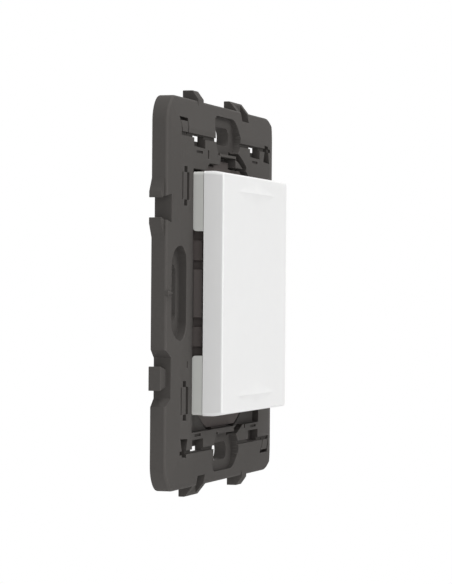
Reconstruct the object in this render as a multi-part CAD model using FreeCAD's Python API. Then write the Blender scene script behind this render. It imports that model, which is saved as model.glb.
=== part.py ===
import FreeCAD
import Part
import math
import os

# Battery-free wireless wall switch: a rocker on a flat module, held in a moulded support frame.
# X runs right, Y runs back into the wall and Z runs up. The origin is the middle of the wall plane.
# A "depth" is a distance in front of the wall plane. All sizes are in millimetres.

# Support frame
frame_side = 71.6
frame_depth = 3.9
frame_corner_radius = 4.8
front_wall = 1.6
end_wall = 1.6
side_wall = 2.6
border_past_corner = 0.6
border_drop = 1.0
edge_round = 0.45
rib_wall = 1.2
rib_place = 12.5

# Rocker
cap_side = 45.0
cap_face_depth = 9.6
cap_rim_depth = 5.8
cap_wall = 1.3
cap_face_wall = 1.4
cap_corner_radius = 0.6
cap_edge_round = 0.3
cap_end_inset = 0.36
cap_end_curve = 2.2
ridge_place = 19.1
ridge_length = 29.0
ridge_height = 0.34
ridge_inner_flank = 2.9
ridge_outer_flank = 2.4
carrier_fit = 0.1
carrier_wall = 1.5
leg_inset = 0.12
leg_depth = 3.75
leg_gap_half = 11.45
leg_round = 0.6
seam = 0.12
peg_side = 1.1
peg_inset = 1.1

# Rocker pivot
ear_clearance = 0.2
pivot_pin_radius = 0.8
pivot_clearance = 0.06
pivot_pin_length = 1.7
ear_radius = 1.6

# Opening in the frame and the seat of the module
opening_side_gap = 0.4
opening_top_gap = 0.45
opening_bottom_gap = 3.1
bay_overhang = 4.8
bay_rise = 1.9
rim_wall = 1.3
seat_depth = 1.6
flange_depth = 2.7
flange_gap = 0.35
key_reach = 1.5
key_half_root = 7.8
key_half_tip = 6.0
key_drop = 0.25
hook_half_width = 5.0
hook_reach = 1.0
hook_thickness = 0.8
hook_clearance = 0.1

# Screw slots
fixing_centres = 60.4
slot_length = 10.4
slot_width = 3.4
sink_length = 17.2
sink_width = 7.2
sink_drop = 1.6
collar_wall = 1.1

# Surface details of the frame
groove_place = 29.0
groove_width = 0.7
groove_drop = 0.35
clip_hole_place = 19.0
clip_hole_width = 7.0
clip_hole_height = 2.2
clip_hole_centre = 28.1
dimple_width = 4.0
dimple_height = 0.45
dimple_drop = 0.25
dimple_gap = 0.6
tongue_place = 28.1
tongue_root_width = 4.0
tongue_end_width = 5.4
tongue_length = 3.0
tongue_slit = 0.6
tongue_drop = 1.3
wedge_place = 27.6
wedge_wide = 4.5
wedge_narrow = 2.7
wedge_length = 2.1
wedge_start = 26.5
wedge_tip = 1.3
wedge_drop = 1.4
bar_place = 19.55
bar_length = 5.0
bar_inner_edge = 25.2
bar_strip = 1.5
bar_width = 4.5
bar_drop = 0.6
bar_hole_width = 2.0
bar_hole_height = 1.1
bar_hole_lap = 0.3
bar_line = 0.45
release_half_width = 5.3
release_height = 1.7
slit_width = 1.6
slit_start_angle = 62.0
slit_end_angle = 78.5
relief_place = 13.1
relief_width = 0.8
relief_start = 0.8
relief_length = 1.6
dot_side = 0.9
dot_drop = 0.5
dot_place_x = 6.3
dot_place_z = 26.7
nick_place_x = 25.7
nick_place_z = 13.0
nick_width = 0.5
nick_length = 1.2
mark_length = 2.2
mark_width = 0.9
mark_rise = 0.4

# Cover-plate claws on the top and bottom edges
hook_claw_centre = 15.7
hook_claw_width = 3.4
hook_claw_flat = 2.0
hook_claw_front = 3.1
hook_claw_shoulder = 0.4
claw_rise = 1.95
wide_claw_centre = 14.1
wide_claw_width = 8.4
wide_claw_ramp = 1.2
wide_claw_front = 2.7
wide_notch_centre = 14.3
wide_notch_width = 4.6
wide_notch_floor = 1.5
wide_notch_height = 1.9

# Ganging couplings on the left and right edges
coupling_place = 15.3
coupling_pitch_gap = 1.5
coupling_bulge_half = 5.4
coupling_lip_half = 2.9
socket_mouth = 3.5
socket_width = 5.2
socket_inset = 1.8
tab_tip_width = 4.4
tab_root_width = 3.2
tab_reach = 1.1
tab_thickness = 2.3
coupling_thickness = 2.4
dish_inset = 1.9
dish_floor_half = 3.6
dish_mouth_half = 5.1

# Module housing
body_step = 1.4
body_corner_radius = 1.5
body_fit = 0.25
dome_side_clearance = 0.2
dome_end_clearance = 0.4
spring_rise = 1.1
dome_wall = 1.2
dome_roof = 0.9
dome_break = 0.5
boss_wall = 2.0
centre_block_half = 4.4
centre_block_depth = 5.15
block_reach = 1.6
arm_inner = 6.1
arm_outer = 9.8
arm_reach = 1.1
arm_depth = 5.0
cover_thickness = 1.0
cover_ledge = 1.2
cover_fit = 0.1

# Cover screws
screw_inset = 2.0
screw_radius = 0.7
screw_length = 4.4
screw_head_radius = 1.4
screw_head_height = 0.6
screw_fit = 0.02
column_width = 3.0

# Circuit board
board_thickness = 0.8
board_rise = 0.2
board_gap = 0.6
board_fit = 0.4
board_pad = 1.6
radio_width = 11.0
radio_height = 8.0
radio_rise = 1.8
radio_x = 4.5
radio_z = 6.0
cell_radius = 1.5
cell_length = 8.0
cell_x = -9.5
cell_z = 6.0
antenna_span = 22.0
antenna_lift = 2.6
antenna_width = 1.0
antenna_gauge = 0.4
antenna_x = -3.0
antenna_z = 14.2
antenna_feed = 4.0
rectifier_width = 4.6
rectifier_height = 3.6
rectifier_rise = 1.4
rectifier_x = -9.5
rectifier_z = 10.6
converter_side = 3.0
converter_rise = 0.9
converter_x = -3.6
converter_z = 9.4
crystal_width = 3.2
crystal_height = 2.0
crystal_rise = 0.8
crystal_x = 13.2
crystal_z = 6.0
chip_width = 1.0
chip_height = 1.6
chip_rise = 0.6
chip_count = 5
chip_pitch = 2.4
chip_x = 4.6
chip_z = 11.4

# Generator
lever_z = -7.4
lever_roof_gap = 0.25
core_gauge = 1.0
core_leg_width = 3.0
core_leg_inner = 2.3
core_left = -16.5
core_bridge = 3.0
pole_left = 5.8
pole_right = 9.2
core_end_gap = 0.2
pole_half_length = 5.6
pole_gauge = 0.5
pole_gap = 0.45
magnet_half = 1.9
magnet_overlap = 0.2
lever_wall = 1.2
lever_saddle = 0.5
lever_pin_radius = 0.7
lever_pin_clearance = 0.05
lever_pin_length = 1.8
post_wall = 1.4
post_gap = 0.3
post_half_width = 1.6
drive_pin_radius = 0.7
drive_pin_length = 3.0
drive_slack = 0.3
drive_clearance = 0.06
finger_wall = 1.2
finger_gap = 1.0
finger_margin = 0.6
finger_drop = 1.1
finger_play = 0.4
finger_travel = 1.0
finger_room = 0.5
bobbin_left = -12.5
bobbin_right = 2.0
bobbin_wall = 0.5
bobbin_fit = 0.05
bobbin_flange = 0.8
bobbin_half_z = 3.0
bobbin_half_depth = 1.9
winding_inset = 0.25
terminal_gauge = 0.4
terminal_overlap = 1.2
core_rest_left = -3.0
core_rest_width = 3.0
clamp_inset = 0.5

# Return spring
spring_gauge = 0.2
spring_width = 8.0
spring_flat = 4.0
spring_reach = 15.0
spring_clearance = 0.05
stake_radius = 0.8
stake_place = 2.2
stake_height = 0.6
stake_fit = 0.05

# Room for cutters past a face, how straight an upright edge is, and how near two equal places are
overshoot = 1.0
upright_share = 0.9
match = 0.001

# Derived sizes
frame_half = frame_side / 2
border_width = frame_corner_radius + border_past_corner
cap_half = cap_side / 2
hollow_depth = frame_depth - front_wall
bowl_depth = frame_depth - sink_drop - collar_wall
cap_inner_depth = cap_face_depth - cap_face_wall
cap_inner_half = cap_half - cap_wall
opening_half = cap_half + opening_side_gap
opening_top = cap_half + opening_top_gap
opening_bottom = -(cap_half + opening_bottom_gap)
bay_radius = cap_half + bay_overhang
bay_top = cap_half + bay_rise
carrier_half = cap_inner_half - carrier_fit
carrier_inner = carrier_half - carrier_wall
dome_half_x = carrier_inner - dome_side_clearance
dome_half_z = carrier_inner - dome_end_clearance
body_half = dome_half_x + body_step
cavity_half_x = dome_half_x - dome_wall
cavity_half_z = dome_half_z - dome_wall
pivot_depth = cap_inner_depth - ear_radius - ear_clearance
dome_depth = cap_inner_depth - spring_rise
cavity_depth = dome_depth - dome_roof
finger_root_depth = dome_depth - finger_drop
screw_place_x = cavity_half_x - screw_inset
screw_place_z = cavity_half_z - screw_inset
cover_half_x = cavity_half_x + cover_ledge
cover_half_z = cavity_half_z + cover_ledge
board_rear = cover_thickness + board_rise
board_front = board_rear + board_thickness
core_right = pole_right - core_end_gap
core_leg_z = core_leg_inner + core_leg_width / 2
pole_inner = core_gauge / 2 + pole_gap
pole_outer = pole_inner + pole_gauge
lever_depth = cavity_depth - lever_roof_gap - lever_saddle - pole_outer
core_rear = lever_depth - core_gauge / 2
core_front = lever_depth + core_gauge / 2
lever_left = pole_left - magnet_overlap
lever_right = pole_right + magnet_overlap
finger_left = lever_right + lever_wall + finger_gap
finger_right = finger_left + finger_wall
finger_half = drive_pin_radius + drive_slack + finger_margin
drive_z = finger_room + finger_half - cavity_half_z
peg_place = carrier_half - peg_inset
slot_reach = fixing_centres / 2
screw_spots = [(screw_place_x, screw_place_z), (-screw_place_x, -screw_place_z)]


def at(x, z, depth=0.0):
    """Point at x and z, this far in front of the wall plane."""
    return FreeCAD.Vector(x, -depth, z)


def block(x0, x1, z0, z1, rear, fore):
    """Straight block between two depths."""
    return Part.makeBox(x1 - x0, fore - rear, z1 - z0, FreeCAD.Vector(x0, -fore, z0))


def pad(x, z, width, height, rear, fore):
    """Straight block about a place on the wall plane, between two depths."""
    return block(x - width / 2, x + width / 2, z - height / 2, z + height / 2, rear, fore)


def taper(x, z0, z1, half0, half1):
    """Outline about x with one half width at z0 and another at z1."""
    return [(x - half0, z0), (x + half0, z0), (x + half1, z1), (x - half1, z1)]


def plate(points, rear, fore):
    """Solid between two depths over a closed outline of x and z points."""
    wire = Part.makePolygon([at(x, z, rear) for x, z in points + points[:1]])
    return Part.Face(wire).extrude(at(0, 0, fore - rear))


def bar(points, x0, x1):
    """Solid across X over a closed outline of depth and z points."""
    wire = Part.makePolygon([at(x0, z, depth) for depth, z in points + points[:1]])
    return Part.Face(wire).extrude(at(x1 - x0, 0))


def round_uprights(shape, radius):
    """Copy of a block with its edges along Y rounded."""
    upright = [edge for edge in shape.Edges if abs(edge.tangentAt(edge.FirstParameter).y) > upright_share]
    return shape.makeFillet(radius, upright)


def rounded_block(half_x, half_z, radius, rear, fore):
    """Block about the middle with round upright corners."""
    return round_uprights(block(-half_x, half_x, -half_z, half_z, rear, fore), radius)


def post(x, z, radius, rear, fore):
    """Round post that stands out from the wall plane."""
    return Part.makeCylinder(radius, fore - rear, at(x, z, rear), at(0, 0, 1))


def axle(x0, x1, z, depth, radius):
    """Round bar along X."""
    return Part.makeCylinder(radius, x1 - x0, at(x0, z, depth), at(1, 0))


def oval(length, width, rear, fore):
    """Oval prism along X about the middle, between two depths."""
    reach = (length - width) / 2
    half = width / 2
    upper = Part.LineSegment(at(-reach, half, rear), at(reach, half, rear))
    right = Part.Arc(at(reach, half, rear), at(reach + half, 0, rear), at(reach, -half, rear))
    lower = Part.LineSegment(at(reach, -half, rear), at(-reach, -half, rear))
    left = Part.Arc(at(-reach, -half, rear), at(-reach - half, 0, rear), at(-reach, half, rear))
    outline = Part.Wire([piece.toShape() for piece in (upper, right, lower, left)])
    return Part.Face(outline).extrude(at(0, 0, fore - rear))


def arc_band(radius, width, start, end, rear, fore):
    """Part of a ring about the middle, between two angles in degrees."""
    def spot(r, angle):
        return at(r * math.cos(math.radians(angle)), r * math.sin(math.radians(angle)), rear)
    inner = radius - width / 2
    outer = radius + width / 2
    middle = (start + end) / 2
    edges = [
        Part.Arc(spot(outer, start), spot(outer, middle), spot(outer, end)).toShape(),
        Part.makeLine(spot(outer, end), spot(inner, end)),
        Part.Arc(spot(inner, end), spot(inner, middle), spot(inner, start)).toShape(),
        Part.makeLine(spot(inner, start), spot(outer, start)),
    ]
    return Part.Face(Part.Wire(edges)).extrude(at(0, 0, fore - rear))


def turned(shape, angle):
    """Copy turned about the Y axis through the origin."""
    copy = shape.copy()
    copy.rotate(FreeCAD.Vector(0, 0, 0), FreeCAD.Vector(0, 1, 0), angle)
    return copy


def both_turns(shapes):
    """The shapes and their copies after half a turn about the middle."""
    return shapes + [turned(shape, 180) for shape in shapes]


def four_ways(shape):
    """The shape and its mirror images across the two middle planes."""
    across = shape.mirror(at(0, 0), FreeCAD.Vector(1, 0, 0))
    pair = [shape, across]
    return pair + [piece.mirror(at(0, 0), FreeCAD.Vector(0, 0, 1)) for piece in pair]


def either_side(shape):
    """The shape and its mirror image across the upright middle plane."""
    return [shape, shape.mirror(at(0, 0), FreeCAD.Vector(1, 0, 0))]


def fused(shapes):
    """One clean solid from touching shapes."""
    return shapes[0].multiFuse(shapes[1:]).removeSplitter()


def roof(drop):
    """Block under the frame's front, flat in the middle and sloping down to all four edges."""
    edge = frame_half
    flat = frame_half - border_width
    shoulder = frame_depth - border_drop - drop
    crest = frame_depth - drop
    points = [(-edge, 0), (edge, 0), (edge, shoulder), (flat, crest), (-flat, crest), (-edge, shoulder)]
    wire = Part.makePolygon([at(x, -frame_half, depth) for x, depth in points + points[:1]])
    prism = Part.Face(wire).extrude(at(0, frame_side))
    return prism.common(turned(prism, 90))


def on_outline(point):
    """Whether a point lies on the frame's outer side."""
    x = abs(point.x)
    z = abs(point.z)
    straight = frame_half - frame_corner_radius
    if min(x, z) < straight:
        return max(x, z) > frame_half - match
    return math.hypot(x - straight, z - straight) > frame_corner_radius - match


def frame_blank():
    """Frame moulding without its openings: square, round-cornered and soft-edged in front."""
    blank = rounded_block(frame_half, frame_half, frame_corner_radius, 0, frame_depth).common(roof(0))
    shoulder = frame_depth - border_drop
    front_edges = [edge for edge in blank.Edges if edge.BoundBox.YMax < edge_round - shoulder
                   and all(on_outline(vertex.Point) for vertex in edge.Vertexes)]
    return blank.makeFillet(edge_round, front_edges)


def frame_pocket():
    """Hollow behind the frame's front wall, with the rim, slot collars and ribs left standing."""
    inner_x = frame_half - side_wall
    inner_z = frame_half - end_wall
    hollow = rounded_block(inner_x, inner_z, frame_corner_radius - end_wall, -overshoot, hollow_depth)
    rim_x = opening_half + rim_wall
    keep = [block(-rim_x, rim_x, opening_bottom - rim_wall, bay_top + rim_wall, -overshoot, hollow_depth)]
    bowl = pad(0, 0, sink_length + 2 * collar_wall, sink_width + 2 * collar_wall, bowl_depth, hollow_depth)
    tube = oval(slot_length + 2 * collar_wall, slot_width + 2 * collar_wall, -overshoot, hollow_depth)
    collar = fused([bowl, tube])
    for quarter in range(4):
        standing = collar.copy()
        standing.translate(at(0, slot_reach))
        keep.append(turned(standing, 90 * quarter))
    long_rib = block(-frame_half, frame_half, rib_place, rib_place + rib_wall, -overshoot, hollow_depth)
    keep += both_turns([long_rib])
    return hollow.cut(keep)


def screw_slot():
    """Cutter for one screw slot along X: a through slot in the floor of an oval recess."""
    sink = oval(sink_length, sink_width, frame_depth - sink_drop, frame_depth + overshoot)
    through = oval(slot_length, slot_width, -overshoot, frame_depth)
    cutter = fused([sink, through])
    cutter.translate(at(0, slot_reach))
    return cutter


def opening_cutters():
    """The module's opening: square with a round bay at the top, over a smaller hole through the seat."""
    front = frame_depth + overshoot
    square = block(-opening_half, opening_half, opening_bottom, opening_top, seat_depth, front)
    bay = post(0, 0, bay_radius, seat_depth, front)
    bay = bay.common(block(-opening_half, opening_half, 0, bay_top, seat_depth, front))
    hole_half = body_half + body_fit
    hole = rounded_block(hole_half, hole_half, body_corner_radius + body_fit, -overshoot, front)
    hook_half = hook_half_width + hook_clearance
    hook_room = hook_reach + hook_clearance
    hook_top = seat_depth + hook_thickness + hook_clearance
    upper = block(-hook_half, hook_half, opening_top, bay_top + hook_room, seat_depth, hook_top)
    lower = block(-hook_half, hook_half, opening_bottom - hook_room, opening_top, seat_depth, hook_top)
    return [square, bay, hole, upper, lower]


def key(clearance):
    """Key on the right side of the opening that holds the module against turning."""
    root = key_half_root + clearance
    tip = key_half_tip + clearance
    inner = opening_half - key_reach - clearance
    outer = opening_half + rim_wall
    upper = [(outer, root), (opening_half, root), (inner, tip)]
    return upper + [(x, -z) for x, z in reversed(upper)]


def surface_cutters():
    """Grooves, clip holes, latch bars and slits in the frame's front."""
    front = frame_depth + overshoot
    cutters = []
    for side in (1, -1):
        groove = pad(0, side * groove_place, 2 * (frame_half - border_width), groove_width, 0, front)
        cutters.append(groove.cut(roof(groove_drop)))
    clip = pad(clip_hole_place, clip_hole_centre, clip_hole_width, clip_hole_height, -overshoot, front)
    dimple_z = clip_hole_centre - (clip_hole_height + dimple_height) / 2 - dimple_gap
    dimple = pad(clip_hole_place, dimple_z, dimple_width, dimple_height, frame_depth - dimple_drop, front)
    cutters += four_ways(clip) + four_ways(dimple)

    strip_x = bar_inner_edge + bar_strip / 2
    strip = pad(strip_x, bar_place, bar_strip, bar_length, frame_depth - bar_drop, front)
    scribe_x = bar_inner_edge + bar_width - bar_line / 2
    scribe = pad(scribe_x, bar_place, bar_line, bar_length, frame_depth - groove_drop, front)
    hole_x = bar_inner_edge + bar_strip - bar_hole_lap + bar_hole_width / 2
    hole_shift = (bar_length + bar_hole_height) / 2
    holes = [pad(hole_x, bar_place + end * hole_shift, bar_hole_width, bar_hole_height, -overshoot, front)
             for end in (1, -1)]
    for piece in [strip, scribe] + holes:
        cutters += four_ways(piece)

    tongue_end = groove_place + tongue_length
    root_half = tongue_root_width / 2
    end_half = tongue_end_width / 2
    outer = taper(tongue_place, groove_place, tongue_end, root_half, end_half)
    inner = taper(tongue_place, groove_place - overshoot, tongue_end - tongue_slit, root_half - tongue_slit,
                  end_half - tongue_slit)
    tongue = plate(outer, frame_depth - tongue_drop, front).cut(plate(inner, 0, front))
    upper_left = tongue.mirror(at(0, 0), FreeCAD.Vector(1, 0, 0))
    cutters += both_turns([upper_left])

    narrow_z = wedge_start + wedge_length
    wedge_floor = frame_depth - wedge_drop
    wedge_outline = taper(wedge_place, wedge_start, narrow_z, wedge_wide / 2, wedge_narrow / 2)
    wedge = plate(wedge_outline, wedge_floor, front)
    wedge_end = pad(wedge_place, narrow_z + wedge_tip / 2, wedge_narrow, wedge_tip, wedge_floor, front)
    cutters += both_turns([wedge, wedge_end])

    dot = pad(dot_place_x, dot_place_z, dot_side, dot_side, frame_depth - dot_drop, front)
    cutters += four_ways(dot)
    nick = pad(nick_place_x, nick_place_z, nick_width, nick_length, frame_depth - wedge_drop, front)
    cutters += both_turns([nick])

    release_top = bay_top + release_height
    release = block(-release_half_width, release_half_width, opening_top, release_top, seat_depth, front)
    upper_slit = arc_band(bay_radius, slit_width, slit_start_angle, slit_end_angle, seat_depth, front)
    lower_slit = upper_slit.mirror(at(0, 0), FreeCAD.Vector(0, 0, 1))
    relief_z = bay_top + relief_start + relief_length / 2
    relief = pad(-relief_place, relief_z, relief_width, relief_length, seat_depth, front)
    lower_z = opening_bottom - relief_start / 2
    lower_relief = pad(relief_place, lower_z, relief_width, relief_start, seat_depth, front)
    return cutters + [release, upper_slit, lower_slit, relief, lower_relief]


def claws():
    """Cover-plate claws of the top edge, as solids to add and notches to cut."""
    tip = frame_half + claw_rise
    hook_left = -hook_claw_centre - hook_claw_width / 2
    hook_right = hook_left + hook_claw_width
    wide_left = wide_claw_centre - wide_claw_width / 2
    wide_right = wide_left + wide_claw_width
    root = frame_half - end_wall
    shoulder = frame_half + hook_claw_shoulder
    hook_profile = [(0, root), (0, tip), (hook_claw_flat, tip)]
    hook_profile += [(hook_claw_front, shoulder), (hook_claw_front, root)]
    hook = bar(hook_profile, hook_left, hook_right)
    profile = [(0, root), (0, tip), (wide_claw_ramp, tip)]
    profile += [(wide_claw_front, frame_half), (wide_claw_front, root)]
    wide = bar(profile, wide_left, wide_right)
    front = frame_depth + overshoot
    notch_left = wide_notch_centre - wide_notch_width / 2
    notch_right = notch_left + wide_notch_width
    wide_low = frame_half - wide_notch_height
    wide_notch = block(notch_left, notch_right, wide_low, tip + overshoot, wide_notch_floor, front)
    return [hook, wide], [wide_notch]


def couplings():
    """Ganging socket and tab of the left edge, as solids to add and recesses to cut."""
    edge = -frame_half
    lip = edge - coupling_pitch_gap
    root = edge + socket_inset
    middle = coupling_place
    bulge = plate([(root, middle - coupling_bulge_half), (edge, middle - coupling_bulge_half),
                   (lip, middle - coupling_lip_half), (lip, middle + coupling_lip_half),
                   (edge, middle + coupling_bulge_half), (root, middle + coupling_bulge_half)],
                  0, coupling_thickness)
    socket = plate([(lip - overshoot, middle - socket_mouth / 2), (lip, middle - socket_mouth / 2),
                    (root, middle - socket_width / 2), (root, middle + socket_width / 2),
                    (lip, middle + socket_mouth / 2), (lip - overshoot, middle + socket_mouth / 2)],
                   -overshoot, frame_depth + overshoot)
    floor = edge + dish_inset
    dish = plate([(edge - overshoot, -middle - dish_mouth_half), (edge, -middle - dish_mouth_half),
                  (floor, -middle - dish_floor_half), (floor, -middle + dish_floor_half),
                  (edge, -middle + dish_mouth_half), (edge - overshoot, -middle + dish_mouth_half)],
                 -overshoot, frame_depth + overshoot)
    tip = edge - tab_reach
    tab = plate([(floor, -middle - tab_root_width / 2), (tip, -middle - tab_tip_width / 2),
                 (tip, -middle + tab_tip_width / 2), (floor, -middle + tab_root_width / 2)], 0, tab_thickness)
    return [bulge, tab], [socket, dish]


def support_frame():
    """The dark moulded frame that is screwed to the wall."""
    claw_solids, claw_notches = claws()
    coupling_bulge_and_tab, coupling_recesses = couplings()
    bulge, tab = coupling_bulge_and_tab
    body = frame_blank().cut(frame_pocket())
    body = fused([body] + both_turns(claw_solids + [bulge]))
    body = body.cut(both_turns(claw_notches + coupling_recesses))
    body = body.cut(opening_cutters())
    body = body.cut([turned(screw_slot(), 90 * quarter) for quarter in range(4)])
    body = body.cut(surface_cutters())
    keys = either_side(plate(key(0), seat_depth, frame_depth - key_drop))
    mark_start = frame_half - mark_length
    low = frame_depth - border_drop
    arrow = [(frame_half, mark_width / 2), (mark_start, 0), (frame_half, -mark_width / 2)]
    pointer = plate(arrow, low - mark_rise, frame_depth).common(roof(-mark_rise))
    return fused([body] + both_turns([tab]) + keys + both_turns([pointer]))


def flange():
    """Rim of the module that rests on the frame's seat."""
    half = opening_half - flange_gap
    disc = post(0, 0, bay_radius - flange_gap, seat_depth, flange_depth)
    bottom = opening_bottom + flange_gap
    top = bay_top - flange_gap
    rim = disc.common(block(-half, half, bottom, top, seat_depth, flange_depth))
    keyways = either_side(plate(key(flange_gap), seat_depth - overshoot, flange_depth + overshoot))
    hook_fore = seat_depth + hook_thickness
    hooks = [block(-hook_half_width, hook_half_width, 0, bay_top + hook_reach, seat_depth, hook_fore),
             block(-hook_half_width, hook_half_width, opening_bottom - hook_reach, 0, seat_depth, hook_fore)]
    return fused([rim.cut(keyways)] + hooks)


def housing_shell():
    """Module housing: body, flange and dome in one moulding, hollow from behind."""
    body = rounded_block(body_half, body_half, body_corner_radius, 0, flange_depth)
    dome = rounded_block(dome_half_x, dome_half_z, body_corner_radius, seat_depth, dome_depth)
    crest = [edge for edge in dome.Edges if edge.BoundBox.YMax < -dome_depth + dome_break]
    dome = dome.makeChamfer(dome_break, crest)
    ear = axle(dome_half_x - boss_wall, dome_half_x, 0, pivot_depth, ear_radius)
    foot = block(dome_half_x - boss_wall, dome_half_x, -ear_radius, ear_radius, flange_depth, pivot_depth)
    middle = block(dome_half_x - dome_wall, dome_half_x + block_reach, -centre_block_half, centre_block_half,
                   seat_depth, centre_block_depth)
    arm = block(dome_half_x - dome_wall, dome_half_x + arm_reach, arm_inner, arm_outer, seat_depth, arm_depth)
    cavity = block(-cavity_half_x, cavity_half_x, -cavity_half_z, cavity_half_z, -overshoot, cavity_depth)
    rebate = block(-cover_half_x, cover_half_x, -cover_half_z, cover_half_z, -overshoot, cover_thickness)
    shell = fused([body, flange(), dome] + either_side(middle) + four_ways(arm)).cut([cavity, rebate])
    return fused([shell] + either_side(ear) + either_side(foot))


def lever_posts():
    """Two bearing posts of the generator's lever, hanging from the dome's roof."""
    left_end = lever_left - lever_wall - post_gap
    right_start = lever_right + lever_wall + post_gap
    low = lever_depth - post_half_width
    posts = []
    for start in (left_end - post_wall, right_start):
        posts.append(block(start, start + post_wall, lever_z - post_half_width, lever_z + post_half_width,
                           low, cavity_depth))
    return posts


def mechanism_base():
    """Housing with its bearings, screw columns and the rests of the generator."""
    columns = []
    for x, z in screw_spots:
        foot = board_front if z > 0 else cover_thickness
        columns.append(pad(x, z, column_width, column_width, foot, cavity_depth))
    leg_low = lever_z - core_leg_z - core_leg_width / 2
    leg_high = lever_z + core_leg_z + core_leg_width / 2
    bridge_rest = block(core_left, core_left + core_bridge, leg_low, leg_high, core_front, cavity_depth)
    leg_rest = block(core_rest_left, core_rest_left + core_rest_width, leg_low, leg_low + core_leg_width,
                     core_front, cavity_depth)
    stakes = [post(side * stake_place, 0, stake_radius, dome_depth - dome_roof, dome_depth + stake_height)
              for side in (1, -1)]
    base = fused([housing_shell()] + columns + lever_posts() + [bridge_rest, leg_rest] + stakes)
    bore = axle(dome_half_x - boss_wall - overshoot, dome_half_x + overshoot, 0, pivot_depth,
                pivot_pin_radius + pivot_clearance)
    post_reach = lever_wall + post_gap + post_wall
    lever_bore = axle(lever_left - post_reach, lever_right + post_reach, lever_z, lever_depth,
                      lever_pin_radius + lever_pin_clearance)
    pilot_end = screw_head_height + screw_length + screw_fit
    pilots = [post(x, z, screw_radius + screw_fit, -overshoot, pilot_end) for x, z in screw_spots]
    window = block(finger_left - finger_play, finger_right + finger_play,
                   -dome_half_z - overshoot, drive_z + finger_half + finger_play,
                   finger_root_depth - finger_travel, dome_depth + overshoot)
    return base.cut(either_side(bore) + [lever_bore] + pilots + [window])


def rear_cover():
    """Plate that closes the module's back, with rests for the board and a clamp for the core."""
    half_x = cover_half_x - cover_fit
    half_z = cover_half_z - cover_fit
    lid = block(-half_x, half_x, -half_z, half_z, 0, cover_thickness)
    board_half = cavity_half_x - board_fit
    board_top = cavity_half_z - board_fit
    rests = [block(-board_half, board_half, board_gap, board_gap + board_pad, 0, board_rear),
             block(-board_half, board_half, board_top - board_pad, board_top, 0, board_rear)]
    clamp = block(core_left + clamp_inset, core_left + core_bridge - clamp_inset,
                  lever_z - core_leg_z, lever_z + core_leg_z, 0, core_rear)
    cover = fused([lid] + rests + [clamp])
    holes = []
    for x, z in screw_spots:
        holes.append(post(x, z, screw_radius + screw_fit, -overshoot, board_front))
        holes.append(post(x, z, screw_head_radius + cover_fit, -overshoot, screw_head_height))
    return cover.cut(holes)


def cover_screws():
    """The two screws of the rear cover."""
    screws = []
    for x, z in screw_spots:
        head = post(x, z, screw_head_radius, screw_fit, screw_head_height)
        shank = post(x, z, screw_radius, screw_head_height, screw_head_height + screw_length)
        screws.append(fused([head, shank]))
    return Part.makeCompound(screws)


def ridge(side):
    """Tactile ridge: a sharp crest with hollow flanks, turned about a far axis so that its ends die out."""
    far = (ridge_length / 2) ** 2 / (2 * ridge_height) + ridge_height / 2
    crest = cap_face_depth + ridge_height
    base = cap_face_depth - ridge_height
    crest_z = side * ridge_place
    inner_z = crest_z - side * ridge_inner_flank
    outer_z = crest_z + side * ridge_outer_flank
    hollow = ridge_height / 4
    inner_mid = at(0, (crest_z + inner_z) / 2, cap_face_depth + hollow)
    outer_mid = at(0, (crest_z + outer_z) / 2, cap_face_depth + hollow)
    start = at(0, inner_z, cap_face_depth)
    top = at(0, crest_z, crest)
    end = at(0, outer_z, cap_face_depth)
    edges = [
        Part.Arc(start, inner_mid, top).toShape(),
        Part.Arc(top, outer_mid, end).toShape(),
        Part.makeLine(end, at(0, outer_z, base)),
        Part.makeLine(at(0, outer_z, base), at(0, inner_z, base)),
        Part.makeLine(at(0, inner_z, base), start),
    ]
    sweep = math.degrees(math.asin(ridge_length / 2 / far))
    profile = Part.Face(Part.Wire(edges))
    pivot = at(0, 0, crest - far)
    profile.rotate(pivot, FreeCAD.Vector(0, 0, 1), -sweep)
    return profile.revolve(pivot, FreeCAD.Vector(0, 0, 1), 2 * sweep)


def rocker_cap():
    """White cap: a thin shell with curved ends and two tactile ridges."""
    bend_depth = cap_face_depth - cap_end_curve
    low_z = cap_half - cap_end_inset
    sagitta = cap_end_inset / 4
    edges = []
    for side in (1, -1):
        bend = at(-cap_half, side * cap_half, bend_depth)
        lip = at(-cap_half, side * low_z, cap_face_depth)
        middle = at(-cap_half, side * (cap_half - sagitta), bend_depth + cap_end_curve / 2)
        edges.append(Part.Arc(bend, middle, lip).toShape())
        edges.append(Part.makeLine(at(-cap_half, side * cap_half, cap_rim_depth), bend))
    edges.append(Part.makeLine(at(-cap_half, low_z, cap_face_depth), at(-cap_half, -low_z, cap_face_depth)))
    rim_end = at(-cap_half, cap_half, cap_rim_depth)
    edges.append(Part.makeLine(rim_end, at(-cap_half, -cap_half, cap_rim_depth)))
    outline = Part.Wire(Part.__sortEdges__(edges))
    blank = Part.Face(outline).extrude(at(cap_side, 0))
    corners = []
    for edge in blank.Edges:
        box = edge.BoundBox
        if box.XLength < cap_edge_round and box.ZLength < cap_end_inset * 2:
            corners.append(edge)
    blank = blank.makeFillet(cap_corner_radius, corners)
    face_edges = [edge for edge in blank.Edges if edge.BoundBox.YMax < -cap_face_depth + cap_edge_round / 2]
    blank = blank.makeFillet(cap_edge_round, face_edges)
    inside = rounded_block(cap_inner_half, cap_inner_half, cap_corner_radius, cap_rim_depth - overshoot,
                           cap_inner_depth)
    pegs = [pad(side_x * peg_place, side_z * peg_place, peg_side, peg_side, pivot_depth, cap_inner_depth)
            for side_x in (1, -1) for side_z in (1, -1)]
    return fused([blank.cut(inside), ridge(1), ridge(-1)] + pegs)


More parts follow.
